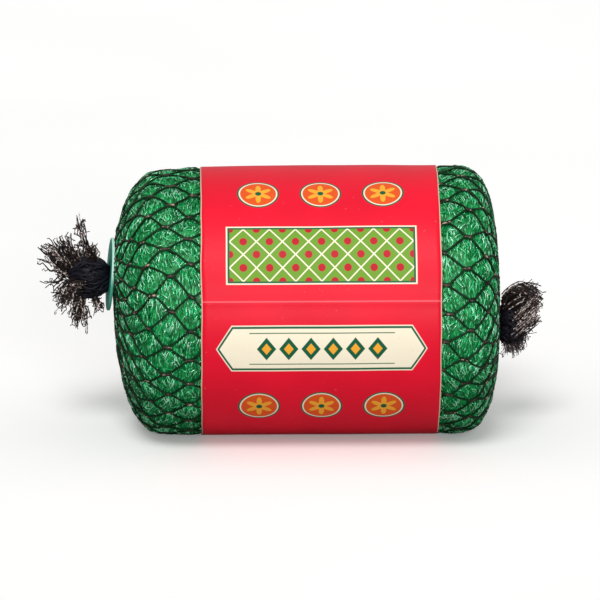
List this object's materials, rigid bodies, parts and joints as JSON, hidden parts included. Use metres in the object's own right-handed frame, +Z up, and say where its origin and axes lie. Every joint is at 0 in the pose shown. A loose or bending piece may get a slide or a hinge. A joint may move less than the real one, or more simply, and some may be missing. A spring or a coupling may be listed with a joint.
{
  "type": "bird netting roll",
  "caption": "Roll of knitted garden netting in a diamond-mesh sleeve gathered into frayed tufts, with a paper band round the middle and a washer at the left end.",
  "frame": {"origin": "middle of the flat spot that the roll rests on, below the middle of its body", "axes": "+X along the roll, away from the end with the washer; -Y is the front; +Z is up"},
  "size_m": [0.2666, 0.1361, 0.1341],
  "materials": {
    "netting": "fine knitted green netting",
    "sleeve": "dark brown mesh strand with a dull shine",
    "band": "red coated paper",
    "washer": "teal with a pale rim"
  },
  "bodies": {
    "root": {"netting_roll": "netting", "mesh_sleeve": "sleeve", "tuft_left": "sleeve", "tuft_right": "sleeve", "paper_band": "band", "end_washer": "washer"}
  },
  "joints": []
}
